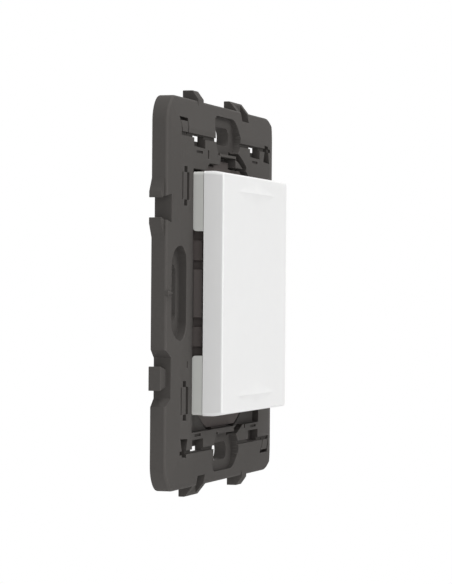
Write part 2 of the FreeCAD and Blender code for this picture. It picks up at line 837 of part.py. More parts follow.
def rocker_carrier():
    """White ring under the cap, with corner legs, pivot pins and the finger that drives the generator."""
    top = cap_inner_depth
    rail = cap_rim_depth + seam
    ring = rounded_block(carrier_half, carrier_half, cap_corner_radius, leg_depth, top)
    skirt_half = cap_half - leg_inset
    skirt = rounded_block(skirt_half, skirt_half, cap_corner_radius, leg_depth, cap_rim_depth - seam)
    gap = block(-cap_side, cap_side, -leg_gap_half, leg_gap_half, leg_depth - overshoot, rail)
    foot_edges = []
    legs = fused([ring, skirt]).cut(gap)
    for edge in legs.Edges:
        box = edge.BoundBox
        at_gap = abs(abs(box.ZMin) - leg_gap_half) < seam and box.ZLength < seam
        if at_gap and box.YLength < seam and abs(box.YMax + leg_depth) < seam:
            foot_edges.append(edge)
    legs = legs.makeFillet(leg_round, foot_edges)
    low = leg_depth - overshoot
    legs = legs.cut(rounded_block(carrier_inner, carrier_inner, carrier_wall, low, top + overshoot))
    hole = peg_side + 2 * seam
    low = pivot_depth - overshoot
    sockets = [pad(side_x * peg_place, side_z * peg_place, hole, hole, low, top + overshoot)
               for side_x in (1, -1) for side_z in (1, -1)]
    pin_end = dome_half_x - pivot_pin_length
    pin = axle(pin_end, carrier_inner + carrier_wall / 2, 0, pivot_depth, pivot_pin_radius)
    boss = axle(carrier_inner, carrier_half, 0, pivot_depth, pivot_pin_radius + carrier_fit)
    finger_low = drive_z - finger_half
    finger_high = drive_z + finger_half
    finger_end = lever_depth - drive_pin_radius - finger_margin
    root_z = -carrier_inner - carrier_wall / 2
    arm = bar([(finger_root_depth, root_z), (top, root_z), (top, finger_high), (finger_end, finger_high),
               (finger_end, finger_low), (finger_root_depth, finger_low)], finger_left, finger_right)
    slot_half = drive_pin_radius + drive_clearance
    slot_left = finger_left - overshoot
    slot_right = finger_right + overshoot
    slot_low = drive_z - drive_slack
    slot_high = drive_z + drive_slack
    slot = fused([axle(slot_left, slot_right, slot_low, lever_depth, slot_half),
                  axle(slot_left, slot_right, slot_high, lever_depth, slot_half),
                  block(slot_left, slot_right, slot_low, slot_high, lever_depth - slot_half,
                        lever_depth + slot_half)])
    carrier = fused([legs] + either_side(pin) + either_side(boss) + [arm])
    return carrier.cut(sockets + [slot])


def return_spring():
    """Leaf spring staked on the dome, with a wing under each end of the cap."""
    low = dome_depth
    high = cap_inner_depth - spring_clearance
    gauge = spring_gauge
    points = [(low, -spring_flat), (low, spring_flat), (high - gauge, spring_reach), (high, spring_reach),
              (low + gauge, spring_flat), (low + gauge, -spring_flat), (high, -spring_reach),
              (high - gauge, -spring_reach)]
    leaf = bar(points, -spring_width / 2, spring_width / 2)
    holes = [post(side * stake_place, 0, stake_radius + stake_fit, low - overshoot, high) for side in (1, -1)]
    return leaf.cut(holes)


def circuit_board():
    """Board in the upper half of the module."""
    half = cavity_half_x - board_fit
    board = block(-half, half, board_gap, cavity_half_z - board_fit, board_rear, board_front)
    radius = screw_radius + cover_fit
    return board.cut([post(x, z, radius, 0, board_front + overshoot) for x, z in screw_spots])


def on_board(x, z, width, height, rise):
    """Square-edged component that sits on the board's front."""
    return pad(x, z, width, height, board_front, board_front + rise)


def storage_capacitor():
    """Capacitor can lying on the board."""
    left = cell_x - cell_length / 2
    return axle(left, left + cell_length, cell_z, board_front + cell_radius, cell_radius)


def antenna_strip():
    """Folded metal strip: a long arm on a ground leg and a feed leg."""
    low = board_front
    high = board_front + antenna_lift
    left = antenna_x - antenna_span / 2
    z0 = antenna_z - antenna_width / 2
    z1 = antenna_z + antenna_width / 2
    arm = block(left, left + antenna_span, z0, z1, high - antenna_gauge, high)
    ground = block(left, left + antenna_gauge, z0, z1, low, high)
    feed = block(left + antenna_feed, left + antenna_feed + antenna_gauge, z0, z1, low, high)
    return fused([arm, ground, feed])


def chip_components():
    """Row of small chip parts on the board."""
    start = chip_x - chip_pitch * (chip_count - 1) / 2
    chips = [on_board(start + chip_pitch * place, chip_z, chip_width, chip_height, chip_rise)
             for place in range(chip_count)]
    return Part.makeCompound(chips)


def core_yoke():
    """Soft-iron core: a flat U with its two legs towards the armature."""
    inner = core_leg_inner
    outer = core_leg_inner + core_leg_width
    sheet = block(core_left, core_right, lever_z - outer, lever_z + outer, core_rear, core_front)
    gap = block(core_left + core_bridge, core_right + overshoot, lever_z - inner, lever_z + inner,
                core_rear - overshoot, core_front + overshoot)
    return sheet.cut(gap)


def coil_parts():
    """Bobbin on the core's upper leg, and the winding between its flanges."""
    z = lever_z + core_leg_z
    hole_z = core_leg_width / 2 + bobbin_fit
    hole_depth = core_gauge / 2 + bobbin_fit

    def sleeve(x0, x1, half_z, half_depth):
        return block(x0, x1, z - half_z, z + half_z, lever_depth - half_depth, lever_depth + half_depth)
    left_cheek = sleeve(bobbin_left, bobbin_left + bobbin_flange, bobbin_half_z, bobbin_half_depth)
    right_cheek = sleeve(bobbin_right - bobbin_flange, bobbin_right, bobbin_half_z, bobbin_half_depth)
    tube = sleeve(bobbin_left, bobbin_right, hole_z + bobbin_wall, hole_depth + bobbin_wall)
    hole = sleeve(bobbin_left - overshoot, bobbin_right + overshoot, hole_z, hole_depth)
    bobbin = fused([tube, left_cheek, right_cheek]).cut(hole)
    wound = sleeve(bobbin_left + bobbin_flange, bobbin_right - bobbin_flange, bobbin_half_z - winding_inset,
                   bobbin_half_depth - winding_inset)
    long_edges = [edge for edge in wound.Edges if edge.BoundBox.XLength > bobbin_flange]
    wound = wound.makeFillet(bobbin_wall, long_edges)
    return bobbin, wound.cut(tube)


def coil_terminals():
    """Two bent pins from the bobbin's cheeks to the board."""
    cheek_top = lever_z + core_leg_z + bobbin_half_z
    pins = []
    for x in (bobbin_left + bobbin_flange / 2, bobbin_right - bobbin_flange / 2):
        left = x - terminal_gauge / 2
        right = x + terminal_gauge / 2
        foot = block(left, right, cheek_top, board_gap + terminal_overlap, board_front,
                     board_front + terminal_gauge)
        riser = block(left, right, cheek_top, cheek_top + terminal_gauge, board_front, lever_depth)
        pins.append(fused([foot, riser]))
    return Part.makeCompound(pins)


def armature_lever():
    """Moulded lever that carries the magnet and rocks it between the core's legs."""
    def wall(x0, x1):
        return block(x0, x1, lever_z - magnet_half, lever_z + magnet_half, lever_depth - pole_outer,
                     lever_depth + pole_outer + lever_saddle)
    left = wall(lever_left - lever_wall, lever_left)
    right = wall(lever_right, lever_right + lever_wall)
    saddle = block(lever_left, lever_right, lever_z - magnet_half, lever_z + magnet_half,
                   lever_depth + pole_outer, lever_depth + pole_outer + lever_saddle)
    outer = lever_right + lever_wall
    arm_half = drive_pin_radius
    arm = block(lever_right, outer, drive_z, lever_z, lever_depth - arm_half, lever_depth + arm_half)
    tip = axle(lever_right, outer, drive_z, lever_depth, arm_half)
    left_pin = axle(lever_left - lever_wall - lever_pin_length, lever_left - lever_wall, lever_z, lever_depth,
                    lever_pin_radius)
    right_pin = axle(outer, outer + lever_pin_length, lever_z, lever_depth, lever_pin_radius)
    drive_pin = axle(outer, outer + drive_pin_length, drive_z, lever_depth, drive_pin_radius)
    return fused([left, right, saddle, arm, tip, left_pin, right_pin, drive_pin])


def magnet_block():
    """Magnet between the two pole plates."""
    return block(lever_left, lever_right, lever_z - magnet_half, lever_z + magnet_half,
                 lever_depth - pole_inner, lever_depth + pole_inner)


def pole_plate(side):
    """Soft-iron plate on the front or the rear of the magnet."""
    near = lever_depth + side * pole_inner
    far = lever_depth + side * pole_outer
    return block(pole_left, pole_right, lever_z - pole_half_length, lever_z + pole_half_length,
                 min(near, far), max(near, far))


def main():
    """Builds every node and writes one file for each."""
    bobbin, winding = coil_parts()
    nodes = {
        "support_frame": support_frame(),
        "mechanism_base": mechanism_base(),
        "rear_cover": rear_cover(),
        "cover_screws": cover_screws(),
        "rocker_cap": rocker_cap(),
        "rocker_carrier": rocker_carrier(),
        "return_spring": return_spring(),
        "circuit_board": circuit_board(),
        "radio_module": on_board(radio_x, radio_z, radio_width, radio_height, radio_rise),
        "storage_capacitor": storage_capacitor(),
        "antenna_strip": antenna_strip(),
        "rectifier_bridge": on_board(rectifier_x, rectifier_z, rectifier_width, rectifier_height,
                                     rectifier_rise),
        "voltage_converter": on_board(converter_x, converter_z, converter_side, converter_side,
                                      converter_rise),
        "timing_crystal": on_board(crystal_x, crystal_z, crystal_width, crystal_height, crystal_rise),
        "chip_components": chip_components(),
        "core_yoke": core_yoke(),
        "coil_bobbin": bobbin,
        "coil_winding": winding,
        "coil_terminals": coil_terminals(),
        "armature_lever": armature_lever(),
        "magnet_block": magnet_block(),
        "pole_plate_front": pole_plate(1),
        "pole_plate_rear": pole_plate(-1),
    }
    os.makedirs("parts", exist_ok=True)
    for name, shape in nodes.items():
        box = shape.BoundBox
        print(name, "solids", len(shape.Solids), "valid", shape.isValid(), "volume", round(shape.Volume, 2),
              "size", round(box.XLength, 2), round(box.YLength, 2), round(box.ZLength, 2))
        shape.exportStep("parts/" + name + ".step")


main()
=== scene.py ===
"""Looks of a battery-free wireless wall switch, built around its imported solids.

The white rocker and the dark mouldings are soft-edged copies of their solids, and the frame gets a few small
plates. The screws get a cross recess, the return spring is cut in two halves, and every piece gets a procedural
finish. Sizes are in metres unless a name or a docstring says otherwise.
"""

import logging
import math
from dataclasses import dataclass, field
from enum import Enum
from typing import Any, Iterable, Protocol, Sequence, Union

import bmesh
import bpy
from mathutils import Matrix, Vector, geometry
from mathutils.bvhtree import BVHTree

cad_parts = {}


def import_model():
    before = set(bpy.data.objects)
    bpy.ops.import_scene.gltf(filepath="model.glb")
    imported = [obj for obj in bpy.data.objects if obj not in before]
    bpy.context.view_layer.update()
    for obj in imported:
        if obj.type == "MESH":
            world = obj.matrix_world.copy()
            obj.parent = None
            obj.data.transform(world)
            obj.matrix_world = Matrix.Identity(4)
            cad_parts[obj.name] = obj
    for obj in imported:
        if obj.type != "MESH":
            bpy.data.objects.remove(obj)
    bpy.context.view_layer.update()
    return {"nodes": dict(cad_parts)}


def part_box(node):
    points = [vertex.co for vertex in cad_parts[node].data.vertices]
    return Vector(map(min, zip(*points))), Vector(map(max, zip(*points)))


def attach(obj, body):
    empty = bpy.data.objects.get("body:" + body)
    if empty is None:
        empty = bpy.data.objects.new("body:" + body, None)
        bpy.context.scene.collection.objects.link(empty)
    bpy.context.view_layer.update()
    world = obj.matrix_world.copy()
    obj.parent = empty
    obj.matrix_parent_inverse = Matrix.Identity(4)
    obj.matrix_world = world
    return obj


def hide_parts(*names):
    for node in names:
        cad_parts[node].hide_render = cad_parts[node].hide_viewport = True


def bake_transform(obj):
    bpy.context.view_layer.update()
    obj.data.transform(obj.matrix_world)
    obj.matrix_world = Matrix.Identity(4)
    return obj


LOG = logging.getLogger("wall_switch")
MM = 0.001
PHOTO_SIZE = (452, 584)
WELD = 1e-6
WHITE = (1.0, 1.0, 1.0, 1.0)
NOISE_MIDDLE = 0.5
# Length of one band of Blender's wave texture at a scale of one.
WAVE_LENGTH = math.pi / 10.0
# Mask of the rounds' narrow faces, which the finishes paint lighter as a painted highlight, in dark plastic
# also as wear.
EDGE_MARK = "rounded_edge"
# Mask of how much near walls hide each face, which darkens it as painted shade.
PAINTED_SHADE_MASK = "painted_shade_mask"

Color = tuple[float, float, float]
Flat = tuple[float, float]
Number = Union[int, float]
Operand = Union["Value", Number]
Paint = Union[Color, bpy.types.NodeSocket]


class Value:
    """A shader socket that takes part in Python arithmetic."""

    def __init__(self, tree: bpy.types.NodeTree, socket: bpy.types.NodeSocket) -> None:
        """Wraps one output socket.

        Args:
            tree: Node tree that gets the Math nodes.
            socket: Output that carries the number.
        """
        self.tree = tree
        self.socket = socket

    def _math(self, operation: str, first: Operand, second: Operand) -> "Value":
        """Adds a Math node.

        Args:
            operation: Name of the Math node's operation.
            first: Number or value of its first input.
            second: Number or value of its second input.

        Returns:
            The node's result.
        """
        node = self.tree.nodes.new("ShaderNodeMath")
        node.operation = operation
        for socket, given in zip(node.inputs, (first, second)):
            if isinstance(given, Value):
                self.tree.links.new(given.socket, socket)
            else:
                socket.default_value = given
        return Value(self.tree, node.outputs[0])

    def __add__(self, other: Operand) -> "Value":
        """Sum."""
        return self._math("ADD", self, other)

    def __radd__(self, other: Operand) -> "Value":
        """Sum with a number on the left."""
        return self._math("ADD", other, self)

    def __sub__(self, other: Operand) -> "Value":
        """Difference."""
        return self._math("SUBTRACT", self, other)

    def __rsub__(self, other: Operand) -> "Value":
        """Difference with a number on the left."""
        return self._math("SUBTRACT", other, self)

    def __mul__(self, other: Operand) -> "Value":
        """Product."""
        return self._math("MULTIPLY", self, other)

    def above(self, limit: Number) -> "Value":
        """One where the value passes the limit, zero elsewhere."""
        return self._math("GREATER_THAN", self, limit)

    def largest(self, other: Operand) -> "Value":
        """The larger of two values."""
        return self._math("MAXIMUM", self, other)

    def swing(self, amount: Number) -> "Value":
        """The swing of a noise about its middle, times an amount."""
        return (self - NOISE_MIDDLE) * amount


class Graph:
    """Node tree of one material or of the world."""

    # Numbers of a Mix node's colour sockets.
    MIX_LOW = 6
    MIX_HIGH = 7
    MIX_RESULT = 2

    def __init__(self, tree: bpy.types.NodeTree) -> None:
        """Starts with an empty tree.

        Args:
            tree: Tree whose nodes are cleared and built anew.
        """
        self.tree = tree
        self.tree.nodes.clear()

    @classmethod
    def of(cls, material: bpy.types.Material) -> "Graph":
        """An empty tree in a material."""
        material.use_nodes = True
        return cls(material.node_tree)

    def node(self, kind: str, settings: dict[str, Any] | None = None,
             inputs: dict[Any, Any] | None = None) -> bpy.types.Node:
        """Adds any node.

        Args:
            kind: Type of the node without its "ShaderNode" prefix.
            settings: Properties that are set before its sockets.
            inputs: Numbers, colours, values or sockets for its inputs, by name or number.

        Returns:
            The new node.
        """
        made = self.tree.nodes.new("ShaderNode" + kind)
        for key, setting in (settings or {}).items():
            setattr(made, key, setting)
        for key, given in (inputs or {}).items():
            socket = made.inputs[key]
            if isinstance(given, Value):
                self.tree.links.new(given.socket, socket)
            elif isinstance(given, bpy.types.NodeSocket):
                self.tree.links.new(given, socket)
            else:
                socket.default_value = given
        return made

    def value(self, socket: bpy.types.NodeSocket) -> Value:
        """Wraps an output for arithmetic."""
        return Value(self.tree, socket)

    def millimetres(self, stretch: Sequence[float] = (1.0, 1.0, 1.0)) -> bpy.types.NodeSocket:
        """Object coordinates in millimetres.

        Args:
            stretch: Extra scale along X, Y and Z.

        Returns:
            The coordinates' socket.
        """
        place = self.node("TexCoord").outputs["Object"]
        scale = [part / MM for part in stretch]
        return self.node("Mapping", inputs={"Vector": place, "Scale": scale}).outputs["Vector"]

    def noise(self, size_mm: float, detail: float = 2.0,
              stretch: Sequence[float] = (1.0, 1.0, 1.0)) -> Value:
        """Soft noise from zero to one.

        Args:
            size_mm: Size of its blotches.
            detail: Octaves of finer noise.
            stretch: Extra scale along X, Y and Z.

        Returns:
            The noise as a value.
        """
        inputs = {"Vector": self.millimetres(stretch), "Scale": 1.0 / size_mm, "Detail": detail}
        return self.value(self.node("TexNoise", inputs=inputs).outputs[0])

    def attribute(self, name: str) -> Value:
        """A number that the piece's own mesh carries."""
        return self.value(self.node("Attribute", {"attribute_name": name}).outputs["Fac"])

    def blend(self, share: Value, low: Paint, high: Paint) -> bpy.types.NodeSocket:
        """Colour between two colours.

        Args:
            share: Zero gives the low colour and one the high colour.
            low: First colour, or a socket that carries it.
            high: Second colour, or a socket that carries it.

        Returns:
            The mixed colour's socket.
        """
        inputs: dict[Any, Any] = {"Factor": share}
        for key, paint in ((self.MIX_LOW, low), (self.MIX_HIGH, high)):
            inputs[key] = paint if isinstance(paint, bpy.types.NodeSocket) else (*paint, 1.0)
        settings = {"data_type": "RGBA", "clamp_factor": True}
        return self.node("Mix", settings, inputs).outputs[self.MIX_RESULT]

    def vary(self, share: Value, color: Color, spread: float) -> bpy.types.NodeSocket:
        """A colour that varies by a spread to both sides."""
        return self.blend(share, shade(color, 1.0 - spread), shade(color, 1.0 + spread))

    def bump(self, height: Value, rise_mm: float) -> bpy.types.NodeSocket:
        """Normal of a fine relief.

        Args:
            height: Relief from zero to one.
            rise_mm: Height of the relief.

        Returns:
            The normal's socket.
        """
        return self.node("Bump", inputs={"Height": height, "Distance": rise_mm * MM}).outputs["Normal"]

    def surface(self, inputs: dict[str, Any]) -> None:
        """Ends the tree in one principled shader.

        Args:
            inputs: Values of the shader's sockets.
        """
        shader = self.node("BsdfPrincipled", inputs=inputs)
        self.node("OutputMaterial", inputs={"Surface": shader.outputs[0]})


def shade(color: Color, gain: float) -> Color:
    """A colour made lighter or darker.

    Args:
        color: Linear colour.
        gain: Factor on all three channels.

    Returns:
        The scaled colour.
    """
    return (color[0] * gain, color[1] * gain, color[2] * gain)


class Finish(Protocol):
    """What dresses a piece."""

    @property
    def name(self) -> str:
        """Name of the material."""

    def paint(self, graph: Graph) -> None:
        """Builds the finish in a material's empty tree."""


@dataclass(frozen=True)
class MouldedPlastic:
    """Moulded plastic with a fine spark-eroded grain, faint flow marks, edges lightened as wear and painted
    highlight, and painted shade in recesses.
    """

    name: str
    color: Color
    roughness: float
    flow: float = 0.06
    flow_mm: float = 9.0
    flow_stretch: Sequence[float] = (1.0, 1.0, 0.55)
    flow_rough: float = 0.08
    speckle: float = 0.05
    grain_mm: float = 0.18
    grain_rise_mm: float = 0.006
    grain_share: float = 0.5
    grain_rough: float = 0.12
    # Lighter colour on rounded edges: wear from rubbing and a painted highlight.
    edge_gain: float = 1.12
    edge_gloss: float = 0.06
    # Painted shade in recesses: how much darker and how tinted a face that near walls hide fully is.
    painted_recess_shade: float = 0.75
    painted_shade_tint: Color = (1.0, 0.9, 0.88)
    recess_rough: float = 0.15
    specular: float = 0.01

    def paint(self, graph: Graph) -> None:
        """Builds the finish in a material's tree.

        Args:
            graph: Empty tree of the material.
        """
        flow = graph.noise(self.flow_mm, detail=3.0, stretch=self.flow_stretch)
        grain = graph.noise(self.grain_mm)
        edge = graph.attribute(EDGE_MARK)
        shade_mask = graph.attribute(PAINTED_SHADE_MASK)
        spread = self.flow + self.speckle
        share = NOISE_MIDDLE + flow.swing(self.flow / spread) + grain.swing(self.grain_share)
        plain = graph.vary(share, self.color, spread)
        # Rounded edges get a lighter colour: wear from rubbing and a painted highlight.
        worn_and_highlit = graph.blend(edge, plain, shade(self.color, self.edge_gain))
        # Faces that near walls hide get a darker, redder colour: painted shade.
        tone = graph.blend(shade_mask, worn_and_highlit, self._painted_shade_color())
        rough = self.roughness + grain.swing(self.grain_rough) + flow.swing(self.flow_rough)
        rough = rough - edge * self.edge_gloss + shade_mask * self.recess_rough
        graph.surface({"Base Color": tone, "Roughness": rough, "Specular IOR Level": self.specular,
                       "Normal": graph.bump(grain, self.grain_rise_mm)})

    def _painted_shade_color(self) -> Color:
        """The painted shade colour of a face that near walls hide on all sides."""
        red, green, blue = shade(self.color, 1.0 - self.painted_recess_shade)
        return (red * self.painted_shade_tint[0], green * self.painted_shade_tint[1], blue * self.painted_shade_tint[2])


@dataclass(frozen=True)
class SatinPlastic:
    """Satin white plastic with a faint ripple and a painted highlight on its rounded edges."""

    name: str
    color: Color
    roughness: float
    ripple_mm: float = 2.6
    ripple_rise_mm: float = 0.004
    ripple_share: float = 0.7
    matt_mm: float = 0.12
    matt_rise_mm: float = 0.0012
    matt_share: float = 0.3
    matt_rough: float = 0.1
    variation: float = 0.012
    # Lighter colour on rounded edges: a painted highlight.
    edge_gain: float = 1.08
    specular: float = 0.14

    def paint(self, graph: Graph) -> None:
        """Builds the finish in a material's tree.

        Args:
            graph: Empty tree of the material.
        """
        ripple = graph.noise(self.ripple_mm, detail=1.0)
        matt = graph.noise(self.matt_mm, detail=1.0)
        share = ripple * self.ripple_share + matt * self.matt_share
        plain = graph.vary(share, self.color, self.variation)
        # Rounded edges get a lighter colour: a painted highlight.
        edge = graph.attribute(EDGE_MARK)
        tone = graph.blend(edge, plain, shade(self.color, self.edge_gain))
        rough = self.roughness + matt.swing(self.matt_rough)
        relief = ripple * self.ripple_rise_mm + matt * self.matt_rise_mm
        graph.surface({"Base Color": tone, "Roughness": rough, "Specular IOR Level": self.specular,
                       "Normal": graph.bump(relief, rise_mm=1.0)})


class Grain(Enum):
    """Direction of the fine lines on a metal surface, as a stretch of the noise along X, Y and Z."""

    ALONG_X = (0.06, 1.0, 1.0)
    ALONG_Z = (1.0, 1.0, 0.06)
    NONE = (1.0, 1.0, 1.0)


@dataclass(frozen=True)
class SheetMetal:
    """Bare or plated sheet metal with rolling lines and faint stains."""

    name: str
    color: Color
    roughness: float
    grain: Grain = Grain.NONE
    line_mm: float = 0.15
    line_rise_mm: float = 0.003
    line_share: float = 0.4
    line_rough: float = 0.16
    stain: float = 0.08
    stain_mm: float = 2.2
    stain_share: float = 0.6
    stain_rough: float = 0.1

    def paint(self, graph: Graph) -> None:
        """Builds the finish in a material's tree.

        Args:
            graph: Empty tree of the material.
        """
        lines = graph.noise(self.line_mm, stretch=self.grain.value)
        stains = graph.noise(self.stain_mm, detail=3.0)
        share = stains * self.stain_share + lines * self.line_share
        tone = graph.vary(share, self.color, self.stain)
        rough = self.roughness + lines.swing(self.line_rough) + stains.swing(self.stain_rough)
        graph.surface({"Base Color": tone, "Metallic": 1.0, "Roughness": rough,
                       "Normal": graph.bump(lines, self.line_rise_mm)})


@dataclass(frozen=True)
class EnamelledWire:
    """Winding of thin lacquered copper wire, turn beside turn, darker in the grooves as painted shade and
    lighter on the crests as painted highlight.
    """

    name: str = "winding_copper"
    color: Color = (0.56, 0.2, 0.07)
    painted_groove_shade: float = 0.55
    painted_crest_highlight: float = 1.2
    pitch_mm: float = 0.22
    waver: float = 0.4
    rise_mm: float = 0.05
    turn_share: float = 0.7
    stain_mm: float = 1.4
    stain_share: float = 0.3
    stain_rough: float = 0.1
    metallic: float = 0.85
    roughness: float = 0.34
    lacquer: float = 0.5

    def paint(self, graph: Graph) -> None:
        """Builds the finish in a material's tree.

        Args:
            graph: Empty tree of the material.
        """
        settings = {"wave_type": "BANDS", "bands_direction": "X", "wave_profile": "SIN"}
        inputs = {"Vector": graph.millimetres(), "Scale": WAVE_LENGTH / self.pitch_mm, "Distortion": self.waver}
        turns = graph.value(graph.node("TexWave", settings, inputs).outputs["Fac"])
        stains = graph.noise(self.stain_mm)
        share = turns * self.turn_share + stains * self.stain_share
        # Grooves between turns are painted darker as shade and crests lighter as highlight.
        tone = graph.blend(share, shade(self.color, self.painted_groove_shade), shade(self.color, self.painted_crest_highlight))
        graph.surface({"Base Color": tone, "Metallic": self.metallic, "Coat Weight": self.lacquer,
                       "Roughness": self.roughness + stains.swing(self.stain_rough),
                       "Normal": graph.bump(turns, self.rise_mm)})


@dataclass(frozen=True)
class SolderMask:
    """Green lacquered board with faint copper tracks under the lacquer."""

    name: str = "board_lacquer"
    color: Color = (0.012, 0.1, 0.035)
    track_color: Color = (0.03, 0.2, 0.07)
    track_share: float = 0.8
    track_width: float = 0.09
    track_rise_mm: float = 0.02
    cell_mm: float = 1.5
    disorder: float = 0.75
    weave_mm: float = 0.3
    weave_share: float = 0.2
    weave_rough: float = 0.1
    roughness: float = 0.32
    lacquer: float = 0.3

    def paint(self, graph: Graph) -> None:
        """Builds the finish in a material's tree.

        Args:
            graph: Empty tree of the material.
        """
        settings = {"feature": "DISTANCE_TO_EDGE"}
        inputs = {"Vector": graph.millimetres(), "Scale": 1.0 / self.cell_mm, "Randomness": self.disorder}
        tracks = graph.value(graph.node("TexVoronoi", settings, inputs).outputs["Distance"])
        on_track = 1.0 - tracks.above(self.track_width)
        weave = graph.noise(self.weave_mm, detail=1.0)
        share = on_track * self.track_share + weave * self.weave_share
        tone = graph.blend(share, self.color, self.track_color)
        graph.surface({"Base Color": tone, "Coat Weight": self.lacquer,
                       "Roughness": self.roughness + weave.swing(self.weave_rough),
                       "Normal": graph.bump(on_track, self.track_rise_mm)})


FRAME_PLASTIC = MouldedPlastic("frame_charcoal", (0.09, 0.0845, 0.08), 0.62)
# The housing is lighter than the frame and its painted recess shade weaker: painted light on a part that lies
# in shade behind the rocker.
LIGHTENED_HOUSING_PLASTIC = MouldedPlastic("housing_charcoal_painted_light", (0.13, 0.115, 0.11), 0.62, painted_recess_shade=0.2)
COVER_PLASTIC = MouldedPlastic("cover_charcoal", (0.055, 0.051, 0.049), 0.55)
WHITE_PLASTIC = SatinPlastic("rocker_white", (0.86, 0.86, 0.856), 0.38)
# The rocker's legs are the same white plastic as its shell; their darker colour is painted shade.
SHADED_CARRIER_PLASTIC = SatinPlastic("carrier_white_painted_shade", (0.625, 0.63, 0.605), 0.42)
LEVER_PLASTIC = MouldedPlastic("lever_buff", (0.45, 0.43, 0.38), 0.45)
CHIP_PLASTIC = MouldedPlastic("chip_black", (0.02, 0.02, 0.021), 0.42, grain_mm=0.1, grain_rise_mm=0.004)
SCREW_STEEL = SheetMetal("screw_steel", (0.52, 0.52, 0.53), 0.34)
SPRING_STEEL = SheetMetal("spring_steel", (0.5, 0.5, 0.51), 0.26, Grain.ALONG_Z)
CORE_IRON = SheetMetal("core_iron", (0.3, 0.3, 0.31), 0.42, Grain.ALONG_X)
TINNED_SHIELD = SheetMetal("tinned_shield", (0.6, 0.6, 0.62), 0.3, Grain.ALONG_X)
MAGNET_PLATING = SheetMetal("magnet_plating", (0.62, 0.6, 0.57), 0.22)
CAN_ALUMINIUM = SheetMetal("can_aluminium", (0.7, 0.7, 0.72), 0.28, Grain.ALONG_X)
STRIP_BRASS = SheetMetal("strip_brass", (0.72, 0.52, 0.24), 0.3, Grain.ALONG_X)


def dress(piece: bpy.types.Object, finish: Finish) -> None:
    """Gives a piece one finish in all its slots.

    Args:
        piece: Object that is dressed.
        finish: Finish that paints its material when it is first used.
    """
    known = bpy.data.materials.get(finish.name)
    if known is None:
        known = bpy.data.materials.new(finish.name)
        finish.paint(Graph.of(known))
    if not piece.data.materials:
        piece.data.materials.append(known)
    for number in range(len(piece.material_slots)):
        piece.material_slots[number].material = known


def new_piece(name: str, shape: bmesh.types.BMesh) -> bpy.types.Object:
    """Turns a bmesh into a piece of the object.

    Args:
        name: Name of the piece.
        shape: Finished bmesh, which is freed.

    Returns:
        The piece.
    """
    mesh = bpy.data.meshes.new(name)
    shape.to_mesh(mesh)
    shape.free()
    piece = bpy.data.objects.new(name, mesh)
    bpy.context.scene.collection.objects.link(piece)
    return piece


@dataclass(frozen=True)
class Web:
    """A small plate that a moulding has and its solid lacks, in millimetres.

    The outline's corners are (x, z), and rear and fore are depths in front of the wall.
    """

    outline: tuple[Flat, ...]
    rear: float
    fore: float

    @classmethod
    def block(cls, low: Flat, high: Flat, rear: float, fore: float) -> "Web":
        """A plate with four corners.

        Args:
            low: Lower left corner.
            high: Upper right corner.
            rear: Depth of its rear face.
            fore: Depth of its front face.

        Returns:
            The plate.
        """
        return cls((low, (high[0], low[1]), high, (low[0], high[1])), rear, fore)

    @classmethod
    def corner(cls, tip: Flat, radius: float, rear: float, fore: float, parts: int = 10) -> "Web":
        """A plate between a corner of the frame's opening and a circle about the middle.

        Args:
            tip: The corner.
            radius: Radius of the circle.
            rear: Depth of its rear face.
            fore: Depth of its front face.
            parts: Sides of the arc.

        Returns:
            The plate.
        """
        across = math.acos(abs(tip[0]) / radius)
        along = math.asin(abs(tip[1]) / radius)
        outline = [tip]
        for number in range(parts + 1):
            angle = across + (along - across) * number / parts
            outline.append((math.copysign(radius * math.cos(angle), tip[0]),
                            math.copysign(radius * math.sin(angle), tip[1])))
        return cls(tuple(outline), rear, fore)

    def add(self, shape: bmesh.types.BMesh) -> None:
        """Adds the plate to a moulding.

        Args:
            shape: Mesh that gets the plate.
        """
        rear, fore = ([shape.verts.new(Vector((x, -depth, z)) * MM) for x, z in self.outline]
                      for depth in (self.rear, self.fore))
        sides = [(rear[number - 1], rear[number], fore[number], fore[number - 1])
                 for number in range(len(self.outline))]
        faces = [shape.faces.new(corners) for corners in (rear, fore, *sides)]
        bmesh.ops.recalc_face_normals(shape, faces=faces)


